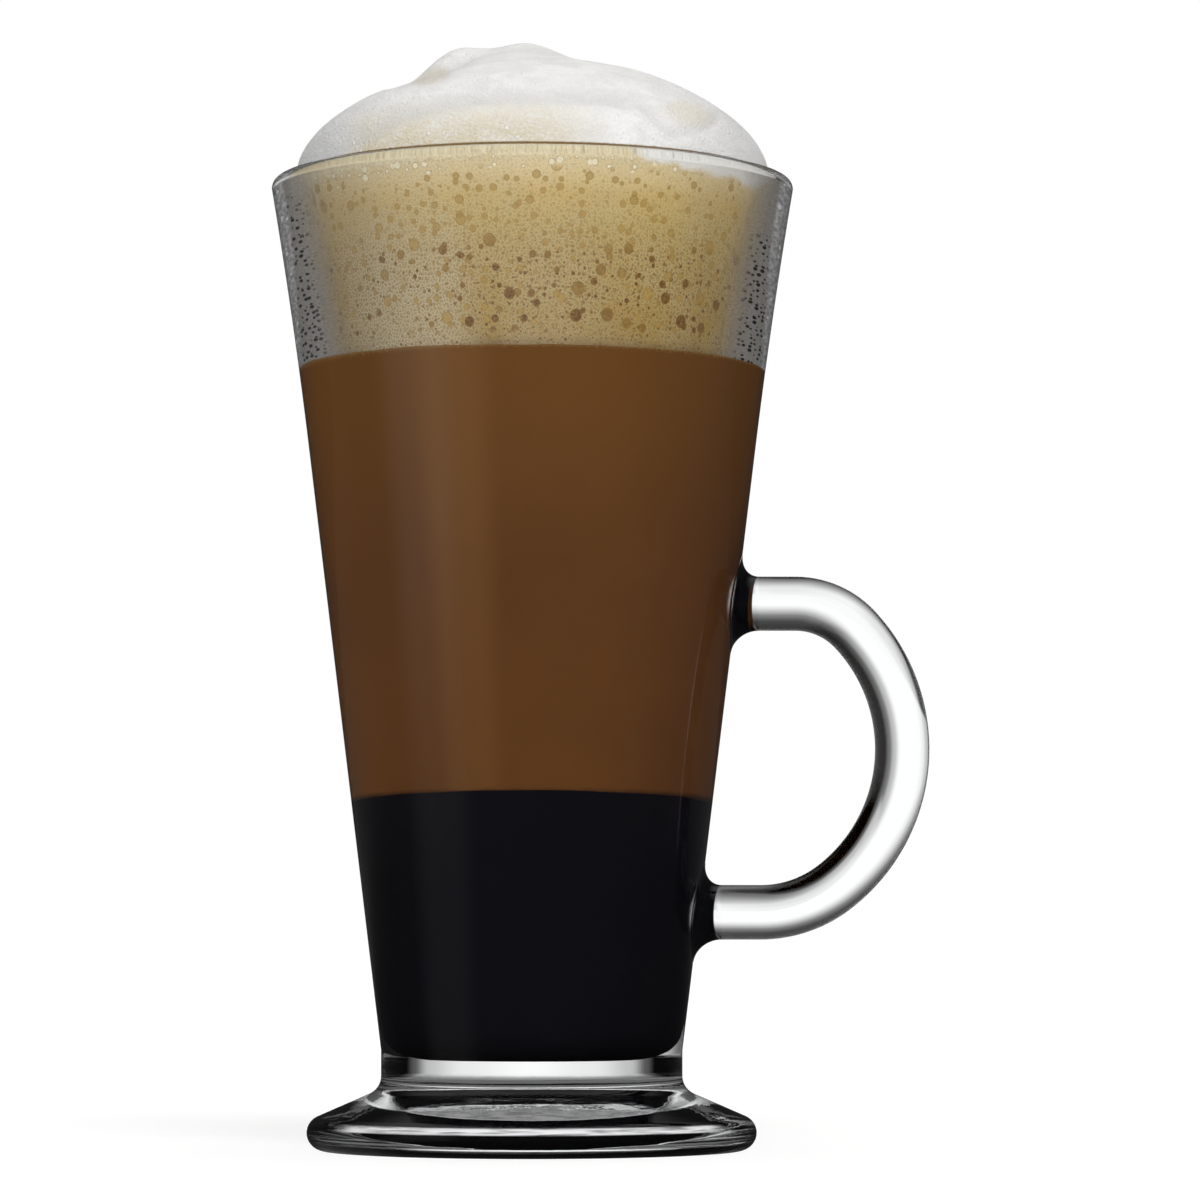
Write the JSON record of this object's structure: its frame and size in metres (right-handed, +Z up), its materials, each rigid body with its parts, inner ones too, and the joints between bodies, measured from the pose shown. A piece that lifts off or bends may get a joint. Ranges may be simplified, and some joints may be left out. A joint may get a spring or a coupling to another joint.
{
  "type": "irish coffee glass mug",
  "caption": "Tall footed glass mug with an ear-shaped side handle, filled with layered milk coffee under a dome of white froth.",
  "frame": {"origin": "on the mug's axis, in the plane that the foot rests on", "axes": "+Z up along the mug's axis, +X towards the handle, +Y away from a viewer who has the handle on the right"},
  "size_m": [0.1019, 0.081, 0.1717],
  "materials": {
    "bowl_glass": "gloss",
    "foot_glass": "gloss",
    "handle_glass": "gloss",
    "black_coffee": "gloss",
    "milk_coffee": "gloss",
    "coffee_foam": "matte",
    "milk_froth": "matte"
  },
  "bodies": {
    "root": {"bowl": "bowl_glass", "foot": "foot_glass", "handle": "handle_glass", "espresso": "black_coffee", "milk_coffee": "milk_coffee", "coffee_foam": "coffee_foam", "milk_froth": "milk_froth"}
  },
  "joints": []
}
